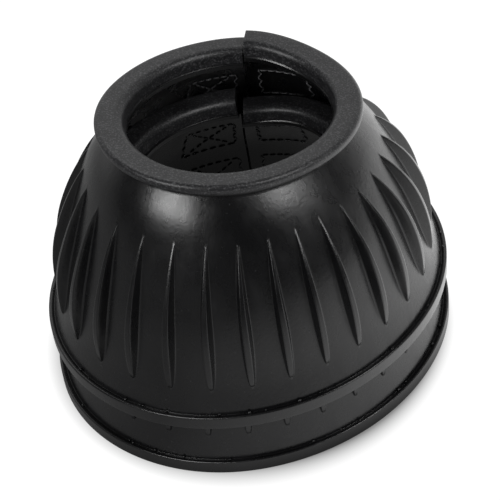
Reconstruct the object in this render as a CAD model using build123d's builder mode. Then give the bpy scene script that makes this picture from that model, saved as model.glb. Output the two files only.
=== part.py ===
from build123d import *
import os
from math import atan2, cos, degrees, hypot, pi, sin

# A pair of moulded rubber bell boots, one nested on the other.
# Millimetres. The lower boot stands on z = 0 and both boots have their axis on Z.
# The upper boot's split is at its back, facing +Y, and its front faces -Y.

# Rubber moulding
lip_radius = 90.0          # outside of the square lip round the bottom
lip_height = 7.0
lip_round = 0.8
ledge_width = 2.8          # the wall stands this far in from the lip
wall_thickness = 2.4
wall_shoulders = [(83.4, 18.5), (79.2, 35.0), (73.2, 55.0), (66.2, 71.0), (57.8, 85.5)]
neck_radius = 50.6         # where the wall meets the underside of the collar
neck_height = 94.5
collar_radius = 55.0
collar_height = 102.0      # height of the flat face on top
collar_edge = 4.6          # height of the collar's outer rim
collar_round = 0.9
collar_inner_radius = 45.0  # inner edge of the flat face
bead_radius = 43.1         # the bead bulges in from the flat face to the throat
bead_height = 99.4
throat_radius = 42.5
throat_top = 94.6
throat_bottom = 91.6       # lower edge of the short straight land
undercut_depth = 4.0       # the wall runs out under the throat from here
undercut_station = 0.90    # and reaches its full thickness at this share of its length
foot_flare = 0.6           # the inside widens this much down to the ground
split_gap = 4.0            # cut through the back from lip to collar

# Fins on the wall
fin_pitch = 12.0
fin_free_angle = 30.0      # no fins this close to the split
fin_low = 0.115            # ends of a fin, as shares of the wall's length
fin_high = 0.785
fin_height = 4.3
fin_end_height = 0.15
fin_crest_low = 0.9        # half the width of the crest, at its lower end
fin_crest_high = 0.5
fin_flank = 1.1            # each flank slopes down over this width
fin_root = 1.4             # how far a fin is carried into the wall
fin_sections = 7

# Nesting and opening
nest_height = 28.8         # the upper boot sits this much higher
lower_turn = 9.0           # and the lower boot sits turned this much inside it
hinge_gap = 0.6            # the upper boot is parted here to let it fold open
hinge_azimuth = 276.0      # halfway between the front fin and the next one

# Closure: two webbing straps on each boot, sewn on the left of the split
strap_spans = {"top": (0.49, 0.755), "bottom": (0.115, 0.38)}  # shares of the wall's length
strap_radii = {"top": 71.0, "bottom": 81.0}   # for turning lengths into angles
layer_gap = 0.1            # between sewn layers, so no two pieces share material
webbing = 1.3
pile = 0.7                 # thickness of a hook patch or a loop patch
sewn_end = 33.5            # lengths round the wall, from the middle of the split
sewn_start = 3.2
fold_gap = 0.5             # parts the upper boot's tabs from their sewn ends
ramp_end = 4.0             # from here the strap lies on top of the loop patch
patch_start = 5.5
patch_end = 31.0
tab_end = 35.0
tab_corner = 3.5
hook_margin = 3.2          # the hook patch keeps inside the loop patch's stitches

# Thread
thread_width = 0.8
thread_height = 0.4
thread_gap = 0.05
stitch_pitch = 4.4
stitch_length = 2.8
stitch_inset = 1.6         # rows keep this far from the edge of what they hold
cross_inset = 3.6          # the crossed rows stop this far in from the sides of the box
cross_drop = 2.2           # and this far below its top


# The outer line of the wall, from the ledge above the lip up to the neck
with BuildLine(Plane.XZ) as wall_curve:
    Spline((lip_radius - ledge_width, lip_height), *wall_shoulders, (neck_radius, neck_height))
wall_line = wall_curve.edges()[0]


def off_wall(station, height):
    """Radius and level of a point at a share of the wall's length, moved square off the wall."""
    point = wall_line @ station
    along = wall_line % station
    return (point.X + along.Z * height, point.Z - along.X * height)


def wall_stations(low, high, count):
    return [low + (high - low) * step / (count - 1) for step in range(count)]


def across_wall(station):
    """Plane that cuts the front of a fin square to the wall: x round it, y off it."""
    point = wall_line @ station
    along = wall_line % station
    return Plane(origin=(point.X, 0, point.Z), x_dir=(0, -1, 0), z_dir=(along.X, 0, along.Z))


def on_wall(azimuth, station, height, turn):
    """A place on the wall: x round it, y up it, z square off it, turned about z."""
    radius, level = off_wall(station, height)
    along = wall_line % station
    seat = Plane(
        origin=(radius * cos(azimuth), radius * sin(azimuth), level),
        x_dir=(-sin(azimuth), cos(azimuth), 0),
        z_dir=(along.Z * cos(azimuth), along.Z * sin(azimuth), -along.X),
    )
    return seat.location * Location((0, 0, 0), (0, 0, degrees(turn)))


# Half-sections of the moulding
with BuildSketch(Plane.XZ) as bell_section:
    with BuildLine():
        foot = Polyline(
            (0, 0),
            (lip_radius, 0),
            (lip_radius, lip_height),
            (lip_radius - ledge_width, lip_height),
        )
        wall = Spline(foot @ 1, *wall_shoulders, (neck_radius, neck_height))
        Polyline(
            wall @ 1,
            (collar_radius, collar_height - collar_edge),
            (collar_radius, collar_height),
            (0, collar_height),
            (0, 0),
        )
    make_face()
    rim_corners = bell_section.vertices().filter_by_position(Axis.X, lip_radius - 0.1, lip_radius + 0.1)
    fillet(rim_corners, lip_round)
    top_corners = bell_section.vertices().filter_by_position(Axis.X, collar_radius - 0.1, collar_radius + 0.1)
    fillet(top_corners, collar_round)

inner_points = [off_wall(station, -wall_thickness) for station in wall_stations(0, undercut_station, 8)]
with BuildSketch(Plane.XZ) as cavity_section:
    with BuildLine():
        Polyline((0, 0), (inner_points[0][0] + foot_flare, 0), inner_points[0])
        Spline(*inner_points)
        Polyline(
            inner_points[-1],
            (throat_radius + undercut_depth, throat_bottom),
            (throat_radius, throat_bottom),
            (throat_radius, throat_top),
        )
        ThreePointArc(
            (throat_radius, throat_top),
            (bead_radius, bead_height),
            (collar_inner_radius, collar_height),
        )
        Polyline((collar_inner_radius, collar_height), (0, collar_height), (0, 0))
    make_face()

# One fin: a narrow flat crest between two sloping flanks, pointed at both ends
with BuildPart() as fin:
    for station in wall_stations(fin_low, fin_high, fin_sections):
        share = (station - fin_low) / (fin_high - fin_low)
        rise = max(sin(pi * share), 0.0) ** 0.8
        crest = fin_crest_low + (fin_crest_high - fin_crest_low) * share
        base = crest + fin_flank * rise
        height = fin_end_height + fin_height * rise
        with BuildSketch(across_wall(station)):
            with BuildLine():
                Polyline(
                    (-base, -fin_root),
                    (-base, 0),
                    (-crest, height),
                    (crest, height),
                    (base, 0),
                    (base, -fin_root),
                    close=True,
                )
            make_face()
    loft()

fin_places = []
for number in range(int(360 / fin_pitch)):
    azimuth = 90 + fin_pitch * number
    from_split = min(azimuth - 90, 450 - azimuth)
    if from_split > fin_free_angle:
        fin_places.append(Location((0, 0, 0), (0, 0, azimuth)))

# The moulding that both boots share
with BuildPart() as moulding:
    revolve(bell_section.sketch, axis=Axis.Z)
    with Locations(*fin_places):
        add(fin.part)
    revolve(cavity_section.sketch, axis=Axis.Z, mode=Mode.SUBTRACT)
    with Locations((0, lip_radius, 0)):
        Box(split_gap, 2 * lip_radius, 3 * collar_height, mode=Mode.SUBTRACT)

with BuildPart() as lower_shell:
    add(moulding.part)

with BuildPart() as parted_moulding:
    with Locations((0, 0, nest_height)):
        add(moulding.part)
    with Locations(Location((0, 0, nest_height), (0, 0, hinge_azimuth))):
        Box(
            2 * lip_radius,
            hinge_gap,
            3 * collar_height,
            align=(Align.MIN, Align.CENTER, Align.CENTER),
            mode=Mode.SUBTRACT,
        )

with BuildPart() as upper_shell_left:
    add(parted_moulding.solids().sort_by(Axis.X)[0])

with BuildPart() as upper_shell_right:
    add(parted_moulding.solids().sort_by(Axis.X)[-1])


def round_wall(length, band):
    """Azimuth in radians of a length to the right of the split, at the height of one strap."""
    return pi / 2 - length / strap_radii[band]


def narrowed(band, margin):
    low, high = strap_spans[band]
    return (low + margin / wall_line.length, high - margin / wall_line.length)


def band_face(span, under, over, azimuth):
    """Face across a band at one azimuth, between two heights off the wall."""
    stations = wall_stations(span[0], span[1], 4)
    upright = Plane(
        origin=(0, 0, 0),
        x_dir=(cos(azimuth), sin(azimuth), 0),
        z_dir=(sin(azimuth), -cos(azimuth), 0),
    )
    with BuildSketch(upright, mode=Mode.PRIVATE) as section:
        with BuildLine():
            inner = Spline(*[off_wall(station, under) for station in stations])
            outer = Spline(*[off_wall(station, over) for station in reversed(stations)])
            Line(inner @ 1, outer @ 0)
            Line(outer @ 1, inner @ 0)
        make_face()
    return section.sketch


def lay_band(band, span, under, over, start, end):
    """Lay a band round the wall from one length to another, inside the current part."""
    first = round_wall(end, band)
    turn = degrees(round_wall(start, band) - first)
    revolve(band_face(span, under, over, first), axis=Axis.Z, revolution_arc=turn)


def lay_sewn_end(band):
    lay_band(band, strap_spans[band], layer_gap, layer_gap + webbing, -sewn_end, -sewn_start)


def lay_tab(band, start):
    """The free end of a strap, from its fold, over the split and on to its rounded tip."""
    span = strap_spans[band]
    low_face = band_face(span, layer_gap, layer_gap + webbing, round_wall(start, band))
    high_face = band_face(span, tab_height, tab_height + webbing, round_wall(ramp_end, band))
    loft([low_face, high_face])
    lay_band(band, span, tab_height, tab_height + webbing, ramp_end, tab_end)
    tip = on_wall(round_wall(tab_end, band), sum(span) / 2, tab_height + webbing / 2, 0)
    corners = edges().filter_by(lambda edge: edge.length < webbing + 0.1)
    corners = corners.sort_by_distance(tip.position)[0:2]
    fillet(corners, tab_corner)


def row(start, end):
    """Stitches along one straight row, as lengths round the wall and up it, and a direction."""
    across = end[0] - start[0]
    up = end[1] - start[1]
    count = 2 * max(1, round(hypot(across, up) / stitch_pitch / 2))
    places = []
    for number in range(count):
        share = (number + 0.5) / count
        places.append((start[0] + across * share, start[1] + up * share, atan2(up, -across)))
    return places


def box_rows(left, right, half_height, crossed):
    """Stitches round a box on the wall, with two more rows crossed inside it if asked."""
    places = row((left, half_height), (right, half_height))
    places += row((left, -half_height), (right, -half_height))
    places += row((left, -half_height), (left, half_height))
    places += row((right, -half_height), (right, half_height))
    if crossed:
        inset_height = half_height - cross_drop
        places += row((left + cross_inset, -inset_height), (right - cross_inset, inset_height))
        places += row((left + cross_inset, inset_height), (right - cross_inset, -inset_height))
    return places


def lay_stitches(band, places, height):
    """Put one small thread solid at each place, at a height off the wall."""
    middle = sum(strap_spans[band]) / 2
    seats = []
    for length, up, direction in places:
        station = middle + up / wall_line.length
        seats.append(on_wall(round_wall(length, band), station, height, direction))
    with Locations(*seats):
        Box(stitch_length, thread_width, thread_height)


tab_height = layer_gap + pile + layer_gap + pile + layer_gap
inside_row = -(wall_thickness + thread_gap + thread_height / 2)

# Every piece is built on a boot standing on the ground with its split straight
# back. Each boot's pieces are moved to their place in the nest at the end.
lower = {"lower_shell": lower_shell}
upper = {}
for band in strap_spans:
    half_height = wall_line.length * (strap_spans[band][1] - strap_spans[band][0]) / 2

    # The lower boot's strap is one piece from its sewn end to its tip
    with BuildPart() as strap:
        lay_sewn_end(band)
        lay_tab(band, -sewn_start)
    lower["lower_" + band + "_strap"] = strap

    # The upper boot's is parted at the fold, where it peels
    with BuildPart() as strap_base:
        lay_sewn_end(band)
    upper["upper_" + band + "_strap_base"] = strap_base

    with BuildPart() as strap_tab:
        lay_tab(band, fold_gap - sewn_start)
    upper["upper_" + band + "_strap_tab"] = strap_tab

    with BuildPart() as loop_patch:
        lay_band(band, strap_spans[band], layer_gap, layer_gap + pile, patch_start, patch_end)
    lower["lower_" + band + "_loop_patch"] = loop_patch
    upper["upper_" + band + "_loop_patch"] = loop_patch

    with BuildPart() as hook_patch:
        lay_band(
            band,
            narrowed(band, hook_margin),
            tab_height - layer_gap - pile,
            tab_height - layer_gap,
            patch_start + hook_margin,
            patch_end - hook_margin,
        )
    lower["lower_" + band + "_hook_patch"] = hook_patch
    upper["upper_" + band + "_hook_patch"] = hook_patch

    with BuildPart() as tab_stitches:
        hook_box = box_rows(
            patch_start + hook_margin + stitch_inset,
            patch_end - hook_margin - stitch_inset,
            half_height - hook_margin - stitch_inset,
            False,
        )
        lay_stitches(band, hook_box, tab_height + webbing + thread_gap + thread_height / 2)
    lower["lower_" + band + "_tab_stitches"] = tab_stitches
    upper["upper_" + band + "_tab_stitches"] = tab_stitches

# The rows that hold the sewn ends and the loop patches show inside and outside
with BuildPart() as strap_stitches:
    for band in strap_spans:
        half_height = wall_line.length * (strap_spans[band][1] - strap_spans[band][0]) / 2
        sewn_box = box_rows(
            stitch_inset - sewn_end, -sewn_start - stitch_inset, half_height - stitch_inset, True
        )
        lay_stitches(band, sewn_box, layer_gap + webbing + thread_gap + thread_height / 2)
        lay_stitches(band, sewn_box, inside_row)
lower["lower_strap_stitches"] = strap_stitches
upper["upper_strap_stitches"] = strap_stitches

with BuildPart() as loop_stitches:
    for band in strap_spans:
        half_height = wall_line.length * (strap_spans[band][1] - strap_spans[band][0]) / 2
        loop_box = box_rows(
            patch_start + stitch_inset, patch_end - stitch_inset, half_height - stitch_inset, False
        )
        lay_stitches(band, loop_box, layer_gap + pile + thread_gap + thread_height / 2)
        lay_stitches(band, loop_box, inside_row)
lower["lower_loop_stitches"] = loop_stitches
upper["upper_loop_stitches"] = loop_stitches

nested = {"upper_shell_left": upper_shell_left, "upper_shell_right": upper_shell_right}
for pieces, seat in (
    (lower, Location((0, 0, 0), (0, 0, lower_turn))),
    (upper, Location((0, 0, nest_height))),
):
    for label, piece in pieces.items():
        with BuildPart() as seated_piece:
            with Locations(seat):
                add(piece.part)
        nested[label] = seated_piece

os.makedirs("parts", exist_ok=True)
for label, piece in nested.items():
    piece.part.label = label
    export_step(piece.part, "parts/" + label + ".step")
    print(label, len(piece.part.solids()), round(piece.part.volume, 1))
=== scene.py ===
import math

import bpy
import numpy as np
from mathutils import Matrix, Vector


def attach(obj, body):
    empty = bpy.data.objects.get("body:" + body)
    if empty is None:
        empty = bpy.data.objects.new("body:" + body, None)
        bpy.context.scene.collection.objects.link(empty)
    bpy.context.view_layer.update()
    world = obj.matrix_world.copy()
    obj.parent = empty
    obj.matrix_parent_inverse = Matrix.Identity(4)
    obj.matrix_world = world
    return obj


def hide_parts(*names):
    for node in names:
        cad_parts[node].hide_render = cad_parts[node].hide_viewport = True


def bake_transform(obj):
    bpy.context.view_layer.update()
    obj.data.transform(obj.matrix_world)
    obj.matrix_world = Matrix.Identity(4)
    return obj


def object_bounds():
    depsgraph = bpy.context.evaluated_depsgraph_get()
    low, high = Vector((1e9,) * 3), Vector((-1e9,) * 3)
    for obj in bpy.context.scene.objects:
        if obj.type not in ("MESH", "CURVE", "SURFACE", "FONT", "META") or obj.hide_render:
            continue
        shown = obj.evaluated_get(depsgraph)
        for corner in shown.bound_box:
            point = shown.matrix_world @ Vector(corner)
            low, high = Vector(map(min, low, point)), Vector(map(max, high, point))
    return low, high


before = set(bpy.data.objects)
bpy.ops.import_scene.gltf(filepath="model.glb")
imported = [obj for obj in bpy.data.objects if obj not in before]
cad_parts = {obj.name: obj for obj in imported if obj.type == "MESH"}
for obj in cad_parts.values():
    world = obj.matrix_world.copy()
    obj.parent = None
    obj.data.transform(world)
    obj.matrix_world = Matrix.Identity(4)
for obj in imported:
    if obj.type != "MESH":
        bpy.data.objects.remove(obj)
cad_low, cad_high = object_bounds()

# Everything is laid out in millimetres in the row frame, then scaled to metres.
MM = 0.001

# ---------------------------------------------------------------- dimensions
LIP_R = round(cad_high[0] / MM, 1)
LIP_H, LEDGE = 7.0, 2.8
LIP_ROUND_LOW, LIP_ROUND_HIGH = 0.8, 0.7
WALL_T = 2.4
WALL_KNOTS = [(87.2, 7.0), (83.4, 18.5), (79.2, 35.0), (73.2, 55.0), (66.2, 71.0), (57.8, 85.5), (50.6, 94.5)]
INNER_TOP = 0.90  # share of the wall where its inside runs into the collar
COLLAR_R, COLLAR_H = 55.0, 102.0
THROAT_R = 42.5
NEST = round(cad_high[2] / MM - COLLAR_H, 1)  # how much higher the upper boot stands
LOWER_TURN = 9.0  # degrees the lower boot is turned against the upper one
SPLIT_HALF = {0.0: (0.5, 1.6), NEST: (0.15, 0.3)}  # half the split's width in the wall and at the top
FIN_PITCH = 12.0  # degrees
FIN_LOW, FIN_HIGH = 0.115, 0.785  # shares of the wall
FIN_TALL_LOWER, FIN_TALL_UPPER = 4.3, 4.9
SPANS = {"top": (0.49, 0.755), "bottom": (0.115, 0.38)}  # shares of the wall
SPAN_R = {"top": 71.0, "bottom": 81.0}
WEBBING, PILE, GAP = 1.3, 0.7, 0.1
TAB_H = 3 * GAP + 2 * PILE
SEWN_START, SEWN_END, TAB_END, TAB_ROUND = -3.2, -33.5, 35.0, 3.5
PATCH_START, PATCH_END, HOOK_MARGIN = 5.5, 31.0, 3.2
FOLD_START, FOLD_END = (-5.5, 70.0), (-1.0, 70.0)  # ends of the line across which an upper strap bends as it peels; closure turns them into points but does not use them
THREAD_LENGTH, THREAD_R, STITCH_PITCH = 3.8, 0.42, 4.4
BOX_INSET, CROSS_INSET, CROSS_DROP = 1.6, 3.6, 2.16
ZIGZAG = 0.45  # radians the stitches lean to either side of an uneven row

# The reference view: the camera looks at TARGET from CAM_DISTANCE away, turned by CAM_ROLL
CAM_AZ, CAM_EL, CAM_ROLL = math.radians(15.05), math.radians(43.18), math.radians(7.84)
CAM_AZ_DEG = math.degrees(CAM_AZ)
CAM_DISTANCE, CAM_LENS = 906.0, 144.0
TARGET = (2.44, 0.0, 48.15)


# ---------------------------------------------------------------- wall curve
def natural_spline(knots):
    """Natural cubic spline through (r, z) knots, by chord length. Returns position and slope functions."""
    p = np.array(knots, float)
    t = np.r_[0, np.cumsum(np.hypot(*np.diff(p, axis=0).T))]
    t = t / t[-1]
    n = len(t)
    h = np.diff(t)
    a = np.zeros((n, n))
    b = np.zeros((n, 2))
    a[0, 0] = a[-1, -1] = 1
    for i in range(1, n - 1):
        a[i, i - 1], a[i, i], a[i, i + 1] = h[i - 1], 2 * (h[i - 1] + h[i]), h[i]
        b[i] = 6 * ((p[i + 1] - p[i]) / h[i] - (p[i] - p[i - 1]) / h[i - 1])
    m = np.linalg.solve(a, b)

    def at(u, slope=False):
        u = np.atleast_1d(np.asarray(u, float))
        i = np.clip(np.searchsorted(t, u) - 1, 0, n - 2)
        hi, x0, x1 = h[i][:, None], (t[i + 1] - u)[:, None], (u - t[i])[:, None]
        if slope:
            return (
                -m[i] * x0**2 / (2 * hi)
                + m[i + 1] * x1**2 / (2 * hi)
                - (p[i] / hi - m[i] * hi / 6)
                + (p[i + 1] / hi - m[i + 1] * hi / 6)
            )
        return (
            m[i] * x0**3 / (6 * hi)
            + m[i + 1] * x1**3 / (6 * hi)
            + (p[i] / hi - m[i] * hi / 6) * x0
            + (p[i + 1] / hi - m[i + 1] * hi / 6) * x1
        )

    return at


wall_at = natural_spline(WALL_KNOTS)
WALL_LENGTH = float(np.hypot(*np.diff(wall_at(np.linspace(0, 1, 400)), axis=0).T).sum())


def off_wall(u, height):
    """(r, z) at a share of the wall, moved square off it."""
    p, s = wall_at(u), wall_at(u, True)
    s = s / np.linalg.norm(s, axis=1)[:, None]
    return p + np.stack([s[:, 1], -s[:, 0]], 1) * np.asarray(height, float).reshape(-1, 1)


def smooth(x, low, high):
    """0 below low, 1 above high, and an even rise between."""
    t = np.clip((np.asarray(x, float) - low) / (high - low), 0, 1)
    return t * t * (3 - 2 * t)


# ---------------------------------------------------------------- relaxed shape
OVAL_AXIS = math.radians(33.7) + CAM_AZ
OVAL_WALL, OVAL_COLLAR = 0.047, 0.040  # how oval the lip is, and how much more the collar is
TILT_ACROSS, TILT_AWAY, COLLAR_UP, COLLAR_ACROSS = -0.140, -0.043, 1.1, 2.0
ENDS = {0.0: (-4.5, -1.5), NEST: (2.6, 1.6)}  # the right end of each collar: up, out
ENDS_REACH, SWING_REACH = 26.0, 45.0  # degrees from the split over which these fade
SWUNG_WALL, SWUNG_COLLAR = 6.0, 3.0  # the upper split sits this many degrees round to the left
LEAN_HEIGHTS, SWING_HEIGHTS, ENDS_HEIGHTS = (52, 100), (60, 98), (45, 98)  # over which each sets in


def relax(points, lift, soft=0.3):
    """The soft boots have settled a little oval, with leaning collars and uneven split ends."""
    p = np.array(points, float)
    own = p[:, 2] - lift
    collar = smooth(own, *LEAN_HEIGHTS)
    # how far round from the split each point is, and how much it belongs to the split's right end
    angle = np.degrees(np.arctan2(p[:, 0], p[:, 1]))
    side = smooth(p[:, 0], -soft, soft) * (p[:, 1] > 0)
    if lift == 0:
        turn = np.radians(LOWER_TURN)
    else:
        swung = SWUNG_WALL + (SWUNG_COLLAR - SWUNG_WALL) * smooth(own, *SWING_HEIGHTS)
        turn = np.radians(swung * np.exp(-((angle / SWING_REACH) ** 2)))
    x = p[:, 0] * np.cos(turn) - p[:, 1] * np.sin(turn)
    y = p[:, 1] * np.cos(turn) + p[:, 0] * np.sin(turn)
    swell = 1 + (OVAL_WALL + OVAL_COLLAR * collar) * np.cos(2 * (np.arctan2(y, x) - OVAL_AXIS))
    x, y = x * swell, y * swell
    c, s = math.cos(CAM_AZ), math.sin(CAM_AZ)
    across = x * c + y * s
    away = y * c - x * s
    z = p[:, 2] + (TILT_ACROSS * across + TILT_AWAY * away + COLLAR_UP) * collar
    x, y = x + COLLAR_ACROSS * collar * c, y + COLLAR_ACROSS * collar * s
    near = np.exp(-((angle / ENDS_REACH) ** 2)) * side * smooth(own, *ENDS_HEIGHTS)
    up, out = ENDS[lift]
    r = np.hypot(x, y) + 1e-9
    z = z + up * near
    x, y = x * (1 + out * near / r), y * (1 + out * near / r)
    return np.stack([x, y, z], 1)


# ---------------------------------------------------------------- mesh helpers
def new_object(name, verts, faces, mats, index=None, flat=None, uvs=None, normals=None):
    mesh = bpy.data.meshes.new(name)
    mesh.from_pydata((np.asarray(verts) * MM).tolist(), [], faces)
    for m in mats:
        mesh.materials.append(m)
    if index is not None:
        mesh.polygons.foreach_set("material_index", np.asarray(index, np.int32))
    shade = np.ones(len(faces), bool)
    if flat is not None:
        shade[np.asarray(flat, int)] = False
    mesh.polygons.foreach_set("use_smooth", shade)
    if uvs is not None:
        layer = mesh.uv_layers.new(name="flat")
        loops = np.zeros(len(mesh.loops), np.int32)
        mesh.loops.foreach_get("vertex_index", loops)
        layer.data.foreach_set("uv", np.asarray(uvs, np.float32)[loops].ravel())
    mesh.update()
    if normals is not None:
        mesh.normals_split_custom_set_from_vertices(normals)
    obj = bpy.data.objects.new(name, mesh)
    bpy.context.scene.collection.objects.link(obj)
    return obj


def grid_faces(rows, cols):
    """Quads of a grid stored row by row that closes on itself from row to row, wound to face outwards."""
    faces = []
    for i in range(rows):
        j = (i + 1) % rows
        for k in range(cols - 1):
            here, there = i * cols + k, j * cols + k
            faces.append((here, here + 1, there + 1, there))
    return faces


def tube_faces(start, rings, spokes):
    """Quads round a tube stored ring by ring."""
    faces = []
    for i in range(rings - 1):
        near, far = start + i * spokes, start + (i + 1) * spokes
        for j in range(spokes):
            k = (j + 1) % spokes
            faces.append((near + j, far + j, far + k, near + k))
    return faces


# ---------------------------------------------------------------- section of the moulding
def corner(cx, cz, radius, start, end, count):
    """Points along an arc, between two angles in degrees."""
    a = np.radians(np.linspace(start, end, count))
    return [(cx + radius * math.cos(x), cz + radius * math.sin(x)) for x in a]


def stepped(radius, height, steps):
    """Points given as steps in from a radius and down from a height."""
    return [(radius - inward, height - down) for inward, down in steps]


def moulding_section():
    """Closed loop of rows: r, z, share of the wall (or -1), and whether it is collar face."""
    rows = []

    def put(points, face=0):
        rows.extend((r, z, -1.0, face) for r, z in points)

    foot_r = off_wall(0.0, -WALL_T)[0][0]
    # the ground, the lip, and the groove where its ledge meets the wall
    put([(foot_r + 0.9, 0.0), (LIP_R - LEDGE, 0.0), (LIP_R - 1.7, 0.0)])
    put(corner(LIP_R - LIP_ROUND_LOW, LIP_ROUND_LOW, LIP_ROUND_LOW, -90, 0, 5))
    put([(LIP_R, z) for z in (2.2, 3.6, 5.0)])
    put(corner(LIP_R - LIP_ROUND_HIGH, LIP_H - LIP_ROUND_HIGH, LIP_ROUND_HIGH, 0, 90, 5))
    put(stepped(LIP_R, LIP_H, [(1.25, 0.02), (1.7, 0.2), (2.1, 0.6), (2.45, 0.85), (2.65, 0.7)]))
    # the outside of the wall, which carries the fins
    for u in np.linspace(0.008, 0.992, 84):
        r, z = wall_at(u)[0]
        rows.append((r, z, u, 0))
    # the collar: its underside, outer edge, flat face and inner round
    put(stepped(COLLAR_R, COLLAR_H, [(4.25, 7.0), (3.8, 6.3), (2.6, 5.3), (1.6, 4.6)]), 1)
    put(corner(COLLAR_R - 1.1, COLLAR_H - 3.4, 1.1, -60, 0, 4), 1)
    put(corner(COLLAR_R - 2.4, COLLAR_H - 2.4, 2.4, 0, 86, 8), 1)
    put(stepped(COLLAR_R, COLLAR_H, [(3.4, -0.02), (4.6, -0.02), (5.8, -0.02), (7.0, 0.0)]), 1)
    put(corner(THROAT_R + 4.3, COLLAR_H - 3.8, 3.8, 84, 180, 11), 1)
    put(stepped(THROAT_R, COLLAR_H, [(-0.3, 5.4), (-0.1, 6.8)]), 1)
    # the bead round the throat, and the shoulder under it
    put(stepped(THROAT_R, COLLAR_H, [(0.05, 7.2), (0.4, 7.5), (0.4, 7.9), (0.0, 8.0)]))
    put(stepped(THROAT_R, COLLAR_H, [(0.0, 9.4), (-0.2, 10.1), (-0.7, 10.4), (-2.7, 10.4)]))
    top_r, top_z = off_wall(INNER_TOP, -WALL_T)[0]
    under_r, under_z = THROAT_R + 4.1, COLLAR_H - 10.6
    put([(under_r, under_z + 0.1), ((under_r + top_r) / 2, (under_z + top_z) / 2)])
    # the inside of the wall, down to the ground
    for u in np.linspace(INNER_TOP, 0.0, 34):
        put([tuple(off_wall(u, -WALL_T)[0])])
    put([(foot_r + 0.25, 4.0), (foot_r + 0.45, 2.0), (foot_r + 0.6, 0.5)])
    return rows


SECTION = moulding_section()
# Across one fin, from its foot to beside its middle: share of the flank (or of the crest, where
# negative), extra width, share of the height.
FIN_ACROSS = [
    (1.0, 0.5, 0.0),
    (1.0, 0.0, 0.02),
    (0.75, 0, 0.14),
    (0.42, 0, 0.6),
    (0.16, 0, 0.91),
    (0.02, 0, 0.99),
    (-0.5, 0, 1.0),
]
FIN_MIDDLE = 0.985  # share of the height along the middle of the crest
BESIDE_FIN = (2.7, 3.8, 4.9)  # degrees from a fin's middle to the plain columns next to it
EDGE_SHARES = (0, 0.012, 0.03, 0.07, 0.13, 0.2, 0.28, 0.36, 0.44, 0.52, 0.6, 0.68, 0.76, 0.84, 0.92, 1.0)
SPREAD_R = 62.0  # a fin's columns spread no further apart, in degrees, than they do at this radius


def fin_form(u, tall):
    """Half width of the crest, half width of the foot and height of a fin at a share of the wall."""
    if u < FIN_LOW or u > FIN_HIGH:
        return 0.35, 0.6, 0.0
    q = ((u - FIN_LOW) / (FIN_HIGH - FIN_LOW)) ** 0.87
    w = max(math.sin(math.pi * q), 0.0)
    crest = (1.6 - 1.2 * q) * w**0.4 + 0.1
    return crest, crest + 0.35 + 1.05 * w**0.7, tall * w**0.75


def column_plan():
    """Columns round the moulding, from the split's left side to its right, in degrees from +X.

    Each is ('plain', azimuth), ('fin', azimuth, side, step) or, between the split and the nearest
    fin, ('edge', share of the way, azimuth it leads to, which side of the split).
    """
    plan = []
    fins = [90 + FIN_PITCH * n for n in range(30) if 30 < FIN_PITCH * n < 330]
    first, last = fins[0], fins[-1]
    plan += [("edge", s, first - BESIDE_FIN[0], 1) for s in EDGE_SHARES]
    for fin in fins:
        if fin != first:
            plan += [("plain", fin - d) for d in reversed(BESIDE_FIN)]
        plan += [("fin", fin, -1, step) for step in range(len(FIN_ACROSS))]
        plan += [("fin", fin, 0, 0)]
        plan += [("fin", fin, 1, step) for step in reversed(range(len(FIN_ACROSS)))]
        if fin != last:
            plan += [("plain", fin + d) for d in (*BESIDE_FIN, FIN_PITCH / 2)]
    plan += [("edge", s, last + BESIDE_FIN[0], -1) for s in reversed(EDGE_SHARES)]
    return plan


PLAN = column_plan()


def ripple(azimuth, level):
    """Slight unevenness of a soft moulding, in millimetres."""
    return 0.10 * np.sin(azimuth * 3 + level * 0.05) + 0.07 * np.sin(azimuth * 7 + 1.3 - level * 0.04)


def moulding_grid(lift, tall):
    """Vertices of the whole moulding, row by row, at rest and relaxed."""
    grid = np.zeros((len(SECTION), len(PLAN), 3))
    for i, (r0, z0, u, _face) in enumerate(SECTION):
        crest, base, height = fin_form(u, tall)
        spread = max(r0, SPREAD_R)
        narrow, wide = SPLIT_HALF[lift]
        edge = math.degrees(math.asin((narrow + (wide - narrow) * float(smooth(z0, 90, 101))) / r0))
        az = np.zeros(len(PLAN))
        rise = np.zeros(len(PLAN))
        for k, col in enumerate(PLAN):
            if col[0] == "plain":
                az[k] = col[1]
            elif col[0] == "edge":
                end = 90 + edge if col[3] > 0 else 450 - edge
                az[k] = end + (col[2] - end) * col[1]
            elif col[2] == 0:
                az[k], rise[k] = col[1], FIN_MIDDLE * height
            else:
                share, extra, lifted = FIN_ACROSS[col[3]]
                offset = crest + (base - crest) * share if share >= 0 else crest * (1 + share)
                az[k] = col[1] + col[2] * math.degrees((offset + extra) / spread)
                rise[k] = lifted * height
        a = np.radians(az)
        if u >= 0:
            rz = off_wall(np.full(len(PLAN), u), rise)
        else:
            rz = np.tile([r0, z0], (len(PLAN), 1))
        radius = rz[:, 0] + ripple(a, z0)
        grid[i] = np.stack([radius * np.cos(a), radius * np.sin(a), rz[:, 1] + lift], 1)
    return relax(grid.reshape(-1, 3), lift).reshape(grid.shape)


def vertex_normals(grid):
    """Normals of a grid that closes on itself from row to row."""
    du = np.roll(grid, -1, 0) - np.roll(grid, 1, 0)
    dv = np.zeros_like(grid)
    dv[:, 1:-1] = grid[:, 2:] - grid[:, :-2]
    dv[:, 0] = grid[:, 1] - grid[:, 0]
    dv[:, -1] = grid[:, -1] - grid[:, -2]
    n = np.cross(dv, du)
    return n / (np.linalg.norm(n, axis=2)[:, :, None] + 1e-12)


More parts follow.
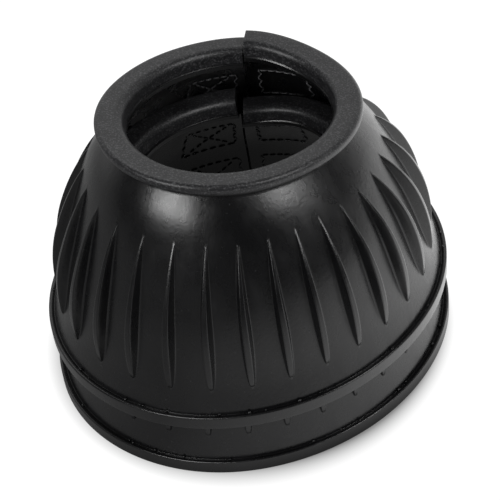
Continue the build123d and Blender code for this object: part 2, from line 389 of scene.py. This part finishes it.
def nibs(lift, seed, count, first, last):
    """Small blobs of moulding flash on the ledge above the lip, between two azimuths: verts and faces."""
    rng = np.random.default_rng(seed)
    verts, faces = [], []
    rings, spokes = 5, 8
    for _ in range(count):
        a = math.radians(rng.uniform(first, last))
        size = rng.uniform(0.35, 0.7)
        r, z = LIP_R - 2.1 + rng.uniform(-0.3, 0.6), LIP_H - 0.2 + size * 0.3
        faces += tube_faces(len(verts), rings, spokes)
        for i in range(rings):
            t = math.pi * i / (rings - 1)
            for j in range(spokes):
                p = 2 * math.pi * j / spokes
                out = r + size * math.sin(t) * math.cos(p) * 0.8
                along = size * math.sin(t) * math.sin(p) * 1.3
                x = out * math.cos(a) - along * math.sin(a)
                y = out * math.sin(a) + along * math.cos(a)
                verts.append((x, y, z + size * math.cos(t) + lift))
    return relax(verts, lift), faces


def moulding_piece(name, grid, normals, first, last, caps, flash):
    """One stretch of the moulding from column first to last, with flash blobs.

    caps lists the split's ends to close, as (column, which way along X the end faces).
    """
    part, norm = grid[:, first : last + 1], normals[:, first : last + 1]
    rows, cols = part.shape[:2]
    verts = part.reshape(-1, 3).tolist()
    norms = norm.reshape(-1, 3).tolist()
    faces = grid_faces(rows, cols)
    index = []
    for i in range(rows):
        index += [1 if SECTION[i][3] and SECTION[(i + 1) % rows][3] else 0] * (cols - 1)
    flat = []
    for column, turn in caps:
        start = len(verts)
        verts += grid[:, column].tolist()
        norms += [(float(turn), 0.0, 0.0)] * rows
        ring = list(range(start, start + rows))
        faces.append(tuple(ring if turn > 0 else ring[::-1]))
        index.append(0)
        flat.append(len(faces) - 1)
    flash_verts, flash_faces = flash
    start = len(verts)
    verts += flash_verts.tolist()
    norms += [(0, 0, 0)] * len(flash_verts)
    faces += [tuple(start + v for v in face) for face in flash_faces]
    index += [0] * len(flash_faces)
    return new_object(name, verts, faces, [rubber, collar_face], index, flat, normals=norms)


# ---------------------------------------------------------------- materials
def material(name, colour, roughness):
    m = bpy.data.materials.new(name)
    m.use_nodes = True
    m.diffuse_color = (*colour, 1)
    shader = m.node_tree.nodes["Principled BSDF"]
    shader.inputs["Base Color"].default_value = (*colour, 1)
    shader.inputs["Roughness"].default_value = roughness
    return m, m.node_tree, shader


def node(tree, kind, **settings):
    made = tree.nodes.new(kind)
    for key, value in settings.items():
        if key in made.inputs:
            made.inputs[key].default_value = value
        else:
            setattr(made, key, value)
    return made


def noise(tree, scale, detail, stretch=None):
    """A noise texture on the piece's own coordinates; scale is per metre."""
    where = tree.nodes.new("ShaderNodeTexCoord").outputs["Object"]
    if stretch:
        mapping = node(tree, "ShaderNodeMapping", Scale=stretch)
        tree.links.new(where, mapping.inputs["Vector"])
        where = mapping.outputs["Vector"]
    texture = node(tree, "ShaderNodeTexNoise", Scale=scale, Detail=detail)
    tree.links.new(where, texture.inputs["Vector"])
    return texture.outputs["Fac"]


def ramp(tree, source, low, high, from_value, to_value):
    """Maps source between low and high onto colours or grey values."""
    made = tree.nodes.new("ShaderNodeValToRGB")
    made.color_ramp.elements[0].position = low
    made.color_ramp.elements[1].position = high
    for element, value in zip(made.color_ramp.elements, (from_value, to_value)):
        element.color = (*value, 1) if isinstance(value, tuple) else (value, value, value, 1)
    tree.links.new(source, made.inputs["Fac"])
    return made.outputs["Color"]


def remap(tree, source, low, high, from_value, to_value):
    """Maps source between low and high onto plain values."""
    made = node(tree, "ShaderNodeMapRange")
    made.inputs["From Min"].default_value = low
    made.inputs["From Max"].default_value = high
    made.inputs["To Min"].default_value = from_value
    made.inputs["To Max"].default_value = to_value
    tree.links.new(source, made.inputs["Value"])
    return made.outputs[0]


def combine(tree, operation, first, second):
    made = node(tree, "ShaderNodeMath", operation=operation)
    tree.links.new(first, made.inputs[0])
    tree.links.new(second, made.inputs[1])
    return made.outputs[0]


def blend_colours(tree, factor, first, second):
    made = tree.nodes.new("ShaderNodeMix")
    made.data_type = "RGBA"
    for value, socket in ((factor, made.inputs[0]), (first, made.inputs[6]), (second, made.inputs[7])):
        if isinstance(value, (int, float)):
            socket.default_value = value
        elif isinstance(value, tuple):
            socket.default_value = (*value, 1)
        else:
            tree.links.new(value, socket)
    return made.outputs[2]


def bump(tree, shader, layers):
    """Stacks height layers, each (source, strength, distance in metres)."""
    previous = None
    for source, strength, distance in layers:
        made = node(tree, "ShaderNodeBump", Strength=strength, Distance=distance)
        tree.links.new(source, made.inputs["Height"])
        if previous is not None:
            tree.links.new(previous, made.inputs["Normal"])
        previous = made.outputs["Normal"]
    tree.links.new(previous, shader.inputs["Normal"])


def rubber_material():
    """Satin black moulded rubber with faint cloudy bloom, handling marks and a fine grain."""
    m, tree, shader = material("rubber", (0.022, 0.023, 0.025), 0.42)
    cloud = noise(tree, 42.0, 4.0)
    marks = noise(tree, 160.0, 6.0, stretch=(1.0, 1.0, 0.35))
    grain = noise(tree, 2600.0, 2.0)
    pebble = noise(tree, 620.0, 3.0)
    base = ramp(tree, cloud, 0.35, 0.72, (0.0030, 0.0030, 0.0034), (0.0055, 0.0055, 0.0060))
    dust = ramp(tree, marks, 0.62, 0.85, 0.0, 0.25)
    colour = blend_colours(tree, dust, base, (0.014, 0.014, 0.015))
    specks = ramp(tree, noise(tree, 1100.0, 2.0), 0.70, 0.78, 0.0, 0.6)
    colour = blend_colours(tree, specks, colour, (0.055, 0.055, 0.058))
    tree.links.new(colour, shader.inputs["Base Color"])
    scuffs = ramp(tree, marks, 0.45, 0.75, 0.0, 1.0)
    rough = blend_colours(tree, scuffs, (0.27, 0.27, 0.27), (0.34, 0.34, 0.34))
    tree.links.new(rough, shader.inputs["Roughness"])
    bump(tree, shader, [(cloud, 0.15, 0.0010), (pebble, 0.22, 0.00025), (grain, 0.35, 0.00006)])
    return m


def collar_face_material():
    """The sanded-looking flat face of the collar: matt, with fine pale specks."""
    m, tree, shader = material("collar_face", (0.040, 0.041, 0.043), 0.40)
    shader.inputs["Specular IOR Level"].default_value = 0.40
    speck = noise(tree, 1300.0, 3.0)
    cloud = noise(tree, 60.0, 3.0)
    base = ramp(tree, cloud, 0.3, 0.7, (0.007, 0.007, 0.008), (0.013, 0.013, 0.014))
    colour = blend_colours(tree, ramp(tree, speck, 0.50, 0.75, 0.0, 0.9), base, (0.088, 0.088, 0.091))
    tree.links.new(colour, shader.inputs["Base Color"])
    bump(tree, shader, [(speck, 0.5, 0.00012), (cloud, 0.3, 0.0008)])
    return m


def waves(tree, axis, pitch):
    """A ridge pattern along one direction of the flat layout, pitch in its units."""
    where = tree.nodes.new("ShaderNodeTexCoord").outputs["UV"]
    split = tree.nodes.new("ShaderNodeSeparateXYZ")
    tree.links.new(where, split.inputs[0])
    turns = node(tree, "ShaderNodeMath", operation="MULTIPLY")
    turns.inputs[1].default_value = 2 * math.pi / pitch
    tree.links.new(split.outputs[axis], turns.inputs[0])
    wave = node(tree, "ShaderNodeMath", operation="SINE")
    tree.links.new(turns.outputs[0], wave.inputs[0])
    return wave.outputs[0]


def webbing_material():
    """Woven nylon webbing: ribs across, warp threads along, slight sheen."""
    m, tree, shader = material("webbing", (0.018, 0.018, 0.019), 0.62)
    woven = combine(tree, "MULTIPLY", waves(tree, "X", 0.13), waves(tree, "Y", 0.10))
    fuzz = noise(tree, 3500.0, 3.0)
    colour = ramp(tree, woven, 0.0, 1.0, (0.020, 0.020, 0.022), (0.070, 0.070, 0.074))
    tree.links.new(colour, shader.inputs["Base Color"])
    shader.inputs["Sheen Weight"].default_value = 0.25
    bump(tree, shader, [(woven, 0.8, 0.00022), (fuzz, 0.4, 0.00008)])
    return m


def loop_material():
    """Brushed loops: a dull, fuzzy pile."""
    m, tree, shader = material("loop_pile", (0.022, 0.022, 0.024), 0.95)
    fuzz, lay = noise(tree, 2400.0, 6.0), noise(tree, 500.0, 3.0)
    colour = ramp(tree, fuzz, 0.35, 0.7, (0.010, 0.010, 0.011), (0.050, 0.050, 0.053))
    tree.links.new(colour, shader.inputs["Base Color"])
    shader.inputs["Sheen Weight"].default_value = 0.5
    bump(tree, shader, [(lay, 0.6, 0.0003), (fuzz, 1.0, 0.0003)])
    return m


def hook_material():
    """Moulded hooks: rows of tiny shiny bumps."""
    m, tree, shader = material("hook_pile", (0.016, 0.016, 0.017), 0.45)
    hooks = combine(tree, "MAXIMUM", waves(tree, "X", 0.11), waves(tree, "Y", 0.09))
    colour = ramp(tree, hooks, 0.2, 1.0, (0.008, 0.008, 0.009), (0.036, 0.036, 0.038))
    tree.links.new(colour, shader.inputs["Base Color"])
    bump(tree, shader, [(hooks, 1.0, 0.0003)])
    return m


def thread_material():
    """Twisted nylon thread, a little paler than the rubber."""
    m, tree, shader = material("thread", (0.075, 0.075, 0.078), 0.5)
    twist = noise(tree, 1500.0, 2.0, stretch=(1.0, 1.0, 2.5))
    colour = ramp(tree, twist, 0.35, 0.7, (0.045, 0.045, 0.047), (0.13, 0.13, 0.135))
    tree.links.new(colour, shader.inputs["Base Color"])
    bump(tree, shader, [(twist, 0.7, 0.0002)])
    return m


rubber = rubber_material()
collar_face = collar_face_material()
webbing = webbing_material()
loop_pile = loop_material()
hook_pile = hook_material()
thread = thread_material()


# ---------------------------------------------------------------- the mouldings
lower_grid = moulding_grid(0.0, FIN_TALL_LOWER)
upper_grid = moulding_grid(NEST, FIN_TALL_UPPER)
lower_normals, upper_normals = vertex_normals(lower_grid), vertex_normals(upper_grid)
last = len(PLAN) - 1

lower_flash = nibs(0.0, 3, 26, 130, 410)
lower_ends = [(0, 1), (last, -1)]
lower = moulding_piece("lower_moulding", lower_grid, lower_normals, 0, last, lower_ends, lower_flash)
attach(lower, "lower_boot")
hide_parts("lower_shell")

# The upper moulding is one skin in three stretches, cut at the hinge line and BEND_REACH degrees to its
# right; the middle stretch gets no body. The cut sits at the hinge line because anything to the left of it
# would fold inwards, into the lower boot.
HINGE_AZ, BEND_REACH = 276.0, 48.0  # degrees
bays = [i for i, col in enumerate(PLAN) if col[0] == "plain"]
left_bay = min(bays, key=lambda i: abs(PLAN[i][1] - HINGE_AZ))
right_bay = min(bays, key=lambda i: abs(PLAN[i][1] - HINGE_AZ - BEND_REACH))


def upper_piece(side, first, last, ends, flash):
    return moulding_piece(f"upper_moulding_{side}", upper_grid, upper_normals, first, last, ends, flash)


left = upper_piece("left", 0, left_bay, [(0, 1)], nibs(NEST, 5, 12, 130, 272))
front = upper_piece("front", left_bay, right_bay, [], nibs(NEST, 6, 5, 280, 320))
right = upper_piece("right", right_bay, last, [(last, -1)], nibs(NEST, 7, 6, 328, 410))
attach(left, "upper_boot")
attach(right, "upper_right_half")
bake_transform(front)
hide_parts("upper_shell_left")
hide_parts("upper_shell_right")


# ---------------------------------------------------------------- straps and patches
def place(band, s, t, height, lift):
    """Points s round the wall and t up it from the middle of a strap, height off the rubber."""
    s, t = np.asarray(s, float), np.asarray(t, float)
    share = sum(SPANS[band]) / 2 + t / WALL_LENGTH
    rz = off_wall(share, height)
    a = math.pi / 2 - s / SPAN_R[band]
    return relax(np.stack([rz[:, 0] * np.cos(a), rz[:, 0] * np.sin(a), rz[:, 1] + lift], 1), lift, 4.0)


def strip(name, band, lift, stations, low, half, thick, mat, wavy=0.0, seed=1):
    """A flat band as a closed mesh. low and half give its underside and half width at each station."""
    rng = np.random.default_rng(seed)
    edge = thick * 0.35
    verts, uvs = [], []
    inner = np.linspace(-1, 1, 11)
    for s in stations:
        w, base = half(s), low(s)
        t = list(inner * (w - edge)) + [w - edge * 0.3, w, w, w - edge * 0.3]
        h = [0.0] * 11 + [edge * 0.3, edge, thick - edge, thick - edge * 0.3]
        t += list(-inner * (w - edge)) + [-(w - edge * 0.3), -w, -w, -(w - edge * 0.3)]
        h += [thick] * 11 + [thick - edge * 0.3, thick - edge, edge, edge * 0.3]
        t, h = np.array(t), np.array(h) + base
        if wavy:
            h = h + (h > base + thick * 0.5) * rng.normal(0, wavy, len(h))
        verts.append(place(band, np.full(len(t), s), t, h, lift))
        uvs.append(np.stack([np.full(len(t), s) / 10, t / 10], 1))
    cols, rows = len(verts), len(verts[0])
    verts = np.array(verts).transpose(1, 0, 2).reshape(-1, 3)
    uvs = np.array(uvs).transpose(1, 0, 2).reshape(-1, 2)
    faces = grid_faces(rows, cols)
    faces.append(tuple(i * cols for i in range(rows))[::-1])
    faces.append(tuple(i * cols + cols - 1 for i in range(rows)))
    ends = [len(faces) - 2, len(faces) - 1]
    return new_object(name, verts, faces, [mat], uvs=uvs, flat=ends)


def half_width(band):
    """Half a strap's width, measured along the wall."""
    return (SPANS[band][1] - SPANS[band][0]) / 2 * WALL_LENGTH


def strap_piece(name, band, lift):
    """The whole strap: sewn down on the left, over the split, then on top of the hook patch."""
    w = half_width(band)
    round_start = TAB_END - TAB_ROUND

    def low(s):
        lump = 0.25 * math.sin(s * 0.35) * float(smooth(s, 6, 30))
        return GAP + (TAB_H - GAP) * float(smooth(s, SEWN_START, 4.0)) + abs(lump)

    def half(s):
        into = s - round_start
        return w if into <= 0 else w - TAB_ROUND + math.sqrt(max(TAB_ROUND**2 - into**2, 0.01))

    stations = list(np.linspace(SEWN_END, SEWN_START - 0.8, 22))
    stations += list(np.linspace(SEWN_START - 0.4, 6, 25))
    stations += list(np.linspace(6.6, round_start, 30))
    stations += [round_start + TAB_ROUND * math.sin(x) for x in np.linspace(0.2, math.pi / 2, 8)]
    return strip(name, band, lift, stations, low, half, WEBBING, webbing)


def patch_piece(name, band, lift, margin, low, mat, wavy=0.0, seed=1):
    """A hook or loop patch, pulled in by a margin on all sides, with its underside at low."""
    w = half_width(band) - margin
    stations = np.linspace(PATCH_START + margin, PATCH_END - margin, 48)
    return strip(name, band, lift, stations, lambda s: low, lambda s: w, PILE, mat, wavy, seed)


# ---------------------------------------------------------------- stitching
def row(start, end, zigzag=0.0):
    """Stitches along one row as (s, t, direction)."""
    ds, dt = end[0] - start[0], end[1] - start[1]
    count = 2 * max(1, round(math.hypot(ds, dt) / STITCH_PITCH / 2))
    places = []
    for n in range(count):
        q = (n + 0.5) / count
        turn = math.atan2(dt, ds) + (zigzag if n % 2 else -zigzag)
        places.append((start[0] + ds * q, start[1] + dt * q, turn))
    return places


def box_rows(left, right, half, crossed=False, zigzag=ZIGZAG):
    """Stitches round a box, and from corner to corner if it is crossed."""
    places = row((left, half), (right, half)) + row((left, -half), (right, -half))
    places += row((left, -half), (left, half), zigzag) + row((right, -half), (right, half), zigzag)
    if crossed:
        near, far, tall = left + CROSS_INSET, right - CROSS_INSET, half - CROSS_DROP
        places += row((near, -tall), (far, tall)) + row((near, tall), (far, -tall))
    return places


def patch_box(band, margin, zigzag=ZIGZAG):
    inset = margin + BOX_INSET
    return box_rows(PATCH_START + inset, PATCH_END - inset, half_width(band) - inset, zigzag=zigzag)


def stitches(name, runs, lift):
    """One mesh of short thread arches. runs holds (band, places, height of the surface, side)."""
    verts, faces = [], []
    rings, spokes = 7, 8
    along = np.linspace(-1, 1, rings)
    turn = 2 * np.pi * np.arange(spokes) / spokes
    for band, places, surface, side in runs:
        for s0, t0, direction in places:
            c, d = math.cos(direction), math.sin(direction)
            start = len(verts)
            thick = THREAD_R * (1 - 0.45 * along**4)
            rise = THREAD_R * (0.75 - 1.5 * along**4)
            for i in range(rings):
                side_off = thick[i] * np.cos(turn)
                up = rise[i] + thick[i] * np.sin(turn) * 0.85
                s = s0 + along[i] * THREAD_LENGTH / 2 * c - side_off * d
                t = t0 + along[i] * THREAD_LENGTH / 2 * d + side_off * c
                verts += place(band, s, t, surface + side * up, lift).tolist()
            order = 1 if side > 0 else -1
            faces += [quad[::-order] for quad in tube_faces(start, rings, spokes)]
            faces.append(tuple(start + j for j in range(spokes))[::-order])
            faces.append(tuple(start + (rings - 1) * spokes + j for j in range(spokes))[::order])
    return new_object(name, verts, faces, [thread])


def closure(prefix, lift, bodies):
    """Both straps of one boot, with their patches and stitching, on the given bodies."""
    sewn_runs, loop_runs = [], []
    for n, band in enumerate(("top", "bottom")):
        tab_body = bodies[f"{band}_tab"]
        stem = f"{prefix}_{band}"
        strap = strap_piece(f"{stem}_strap_webbing", band, lift)
        hook = patch_piece(f"{stem}_hooks", band, lift, HOOK_MARGIN, TAB_H - GAP - PILE, hook_pile)
        loops = patch_piece(f"{stem}_loops", band, lift, 0.0, GAP, loop_pile, 0.05, 5 + n)
        hook_box = patch_box(band, HOOK_MARGIN, 0.0)
        loop_box = patch_box(band, 0.0)
        sewn_half = half_width(band) - BOX_INSET
        sewn_box = box_rows(SEWN_END + BOX_INSET, SEWN_START - BOX_INSET, sewn_half, crossed=True)
        tab = stitches(f"{stem}_tab_thread", [(band, hook_box, TAB_H + WEBBING, 1)], lift)
        sewn_runs += [(band, sewn_box, GAP + WEBBING, 1), (band, sewn_box, -WALL_T, -1)]
        loop_runs += [(band, loop_box, GAP + PILE, 1), (band, loop_box, -WALL_T, -1)]
        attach(hook, tab_body)
        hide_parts(f"{stem}_hook_patch")
        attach(tab, tab_body)
        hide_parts(f"{stem}_tab_stitches")
        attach(loops, bodies["right"])
        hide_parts(f"{stem}_loop_patch")
        if tab_body == bodies["left"]:
            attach(strap, bodies["left"])
            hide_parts(f"{stem}_strap")
        else:
            z = float(place(band, [0.0], [0.0], 0.0, lift)[0][2])
            start, end = [tuple(MM * v for v in (*spot, z)) for spot in (FOLD_START, FOLD_END)]
            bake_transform(strap)
            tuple(start)
            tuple(end)
            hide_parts(f"{stem}_strap_base", f"{stem}_strap_tab")
    sewn = stitches(f"{prefix}_strap_thread", sewn_runs, lift)
    held = stitches(f"{prefix}_loop_thread", loop_runs, lift)
    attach(sewn, bodies["left"])
    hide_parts(f"{prefix}_strap_stitches")
    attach(held, bodies["right"])
    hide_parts(f"{prefix}_loop_stitches")


LOWER_BODIES = dict.fromkeys(("left", "right", "top_tab", "bottom_tab"), "lower_boot")
UPPER_BODIES = {
    "left": "upper_boot",
    "right": "upper_right_half",
    "top_tab": "upper_top_tab",
    "bottom_tab": "upper_bottom_tab",
}
closure("lower", 0.0, LOWER_BODIES)
closure("upper", NEST, UPPER_BODIES)


# ---------------------------------------------------------------- floor, light, camera
FLOOR_LEFT, FLOOR_RIGHT = 0.24, 1.9  # how brightly the floor shows in reflections, to either side
WORLD_FRONT, WORLD_BACK = 0.02, 0.8
PAINTED_SHADOW_R, PAINTED_SHADOW_END, PAINTED_SHADOW_GLOW = 0.086, 0.10, 0.10  # painted shadow on the floor under and round the lip: where it is darkest and where it ends, in metres, and the share of the glow left there
AIM_HEIGHT, LIGHT_SPREAD = 0.06, 120.0


def stage_floor():
    """A white floor that glows evenly for the camera, apart from a painted shadow round the lip, and unevenly
    in the object's reflections.
    """
    bpy.ops.mesh.primitive_plane_add(size=12, location=(0, 0, -0.0002))
    floor = bpy.context.object
    floor.name = "floor"
    m, tree, shader = material("floor", (0.92, 0.92, 0.92), 0.9)
    rays = tree.nodes.new("ShaderNodeLightPath")
    turned = node(tree, "ShaderNodeMapping", Rotation=(0, 0, -CAM_AZ))
    tree.links.new(tree.nodes.new("ShaderNodeTexCoord").outputs["Object"], turned.inputs["Vector"])
    where = turned.outputs["Vector"]
    metres = tree.nodes.new("ShaderNodeSeparateXYZ")
    tree.links.new(where, metres.inputs[0])
    unit = node(tree, "ShaderNodeVectorMath", operation="NORMALIZE")
    tree.links.new(where, unit.inputs[0])
    parts = tree.nodes.new("ShaderNodeSeparateXYZ")
    tree.links.new(unit.outputs[0], parts.inputs[0])
    reach = node(tree, "ShaderNodeVectorMath", operation="LENGTH")
    tree.links.new(where, reach.inputs[0])
    sides = remap(tree, parts.outputs["X"], -0.6, 1.0, FLOOR_LEFT, FLOOR_RIGHT)
    table_edge = remap(tree, metres.outputs["Y"], -0.6, 0.1, 0.06, 1.0)
    # painted shadow: the floor's glow fades towards the lip, both for the camera and in reflections
    under = remap(tree, reach.outputs["Value"], PAINTED_SHADOW_R, PAINTED_SHADOW_END, PAINTED_SHADOW_GLOW, 1.0)
    reflected = combine(tree, "MULTIPLY", combine(tree, "MULTIPLY", sides, table_edge), under)
    seen = combine(tree, "MULTIPLY", rays.outputs["Is Camera Ray"], under)
    glow = blend_colours(tree, seen, reflected, (1.0, 1.0, 1.0))
    tree.links.new(glow, shader.inputs["Emission Color"])
    shader.inputs["Emission Strength"].default_value = 1.0
    shader.inputs["Base Color"].default_value = (0.1, 0.1, 0.1, 1)
    floor.data.materials.append(m)


def world_light():
    """A dark room on the camera's side and a white sweep behind the object."""
    world = bpy.data.worlds.new("studio")
    bpy.context.scene.world = world
    world.use_nodes = True
    tree = world.node_tree
    turned = node(tree, "ShaderNodeMapping", Rotation=(0, 0, -CAM_AZ))
    tree.links.new(tree.nodes.new("ShaderNodeTexCoord").outputs["Generated"], turned.inputs["Vector"])
    parts = tree.nodes.new("ShaderNodeSeparateXYZ")
    tree.links.new(turned.outputs["Vector"], parts.inputs[0])
    tone = ramp(tree, parts.outputs["Y"], 0.0, 0.6, WORLD_FRONT, WORLD_BACK)
    tree.links.new(tone, tree.nodes["Background"].inputs["Color"])


def softbox(name, azimuth, elevation, distance, size, power):
    """An area light aimed at the object. Azimuth 0 is straight in front of the object, at -Y."""
    data = bpy.data.lights.new(name, "AREA")
    data.shape, data.size, data.size_y = "RECTANGLE", size[0], size[1]
    data.energy = power
    data.spread = math.radians(LIGHT_SPREAD)
    light = bpy.data.objects.new(name, data)
    bpy.context.scene.collection.objects.link(light)
    a, e = math.radians(azimuth), math.radians(elevation)
    back = np.array([math.sin(a) * math.cos(e), -math.cos(a) * math.cos(e), math.sin(e)])
    light.location = back * distance + np.array([0, 0, AIM_HEIGHT])
    light.rotation_mode = "QUATERNION"
    light.rotation_quaternion = Vector(back).to_track_quat("Z", "Y")


def photo_camera():
    """Camera at the reference view."""
    ca, sa, ce, se = math.cos(CAM_AZ), math.sin(CAM_AZ), math.cos(CAM_EL), math.sin(CAM_EL)
    back = np.array([sa * ce, -ca * ce, se])
    side = np.array([ca, sa, 0.0])
    up = np.cross(back, side)
    cr, sr = math.cos(CAM_ROLL), math.sin(CAM_ROLL)
    right_axis, up_axis = cr * side - sr * up, sr * side + cr * up
    target = np.array([TARGET[0] * ca, TARGET[0] * sa, TARGET[2]])
    where = (target + back * CAM_DISTANCE) * MM
    data = bpy.data.cameras.new("photo_camera")
    data.lens, data.sensor_width = CAM_LENS, 36.0
    data.clip_start, data.clip_end = 0.05, 50.0
    cam = bpy.data.objects.new("photo_camera", data)
    bpy.context.scene.collection.objects.link(cam)
    columns = [right_axis, up_axis, back, where]
    cam.matrix_world = Matrix([[float(col[i]) for col in columns] for i in range(3)] + [[0, 0, 0, 1]])
    bpy.context.scene.camera = cam


stage_floor()
world_light()
softbox("shoulder_left", CAM_AZ_DEG - 37, 32, 1.2, (0.62, 0.40), 3.8)
softbox("shoulder_right", CAM_AZ_DEG + 58, 34, 1.2, (0.42, 0.40), 2.2)
softbox("top", CAM_AZ_DEG + 190, 62, 1.1, (0.7, 0.5), 0.8)
photo_camera()
bpy.context.scene.view_settings.view_transform = "Standard"
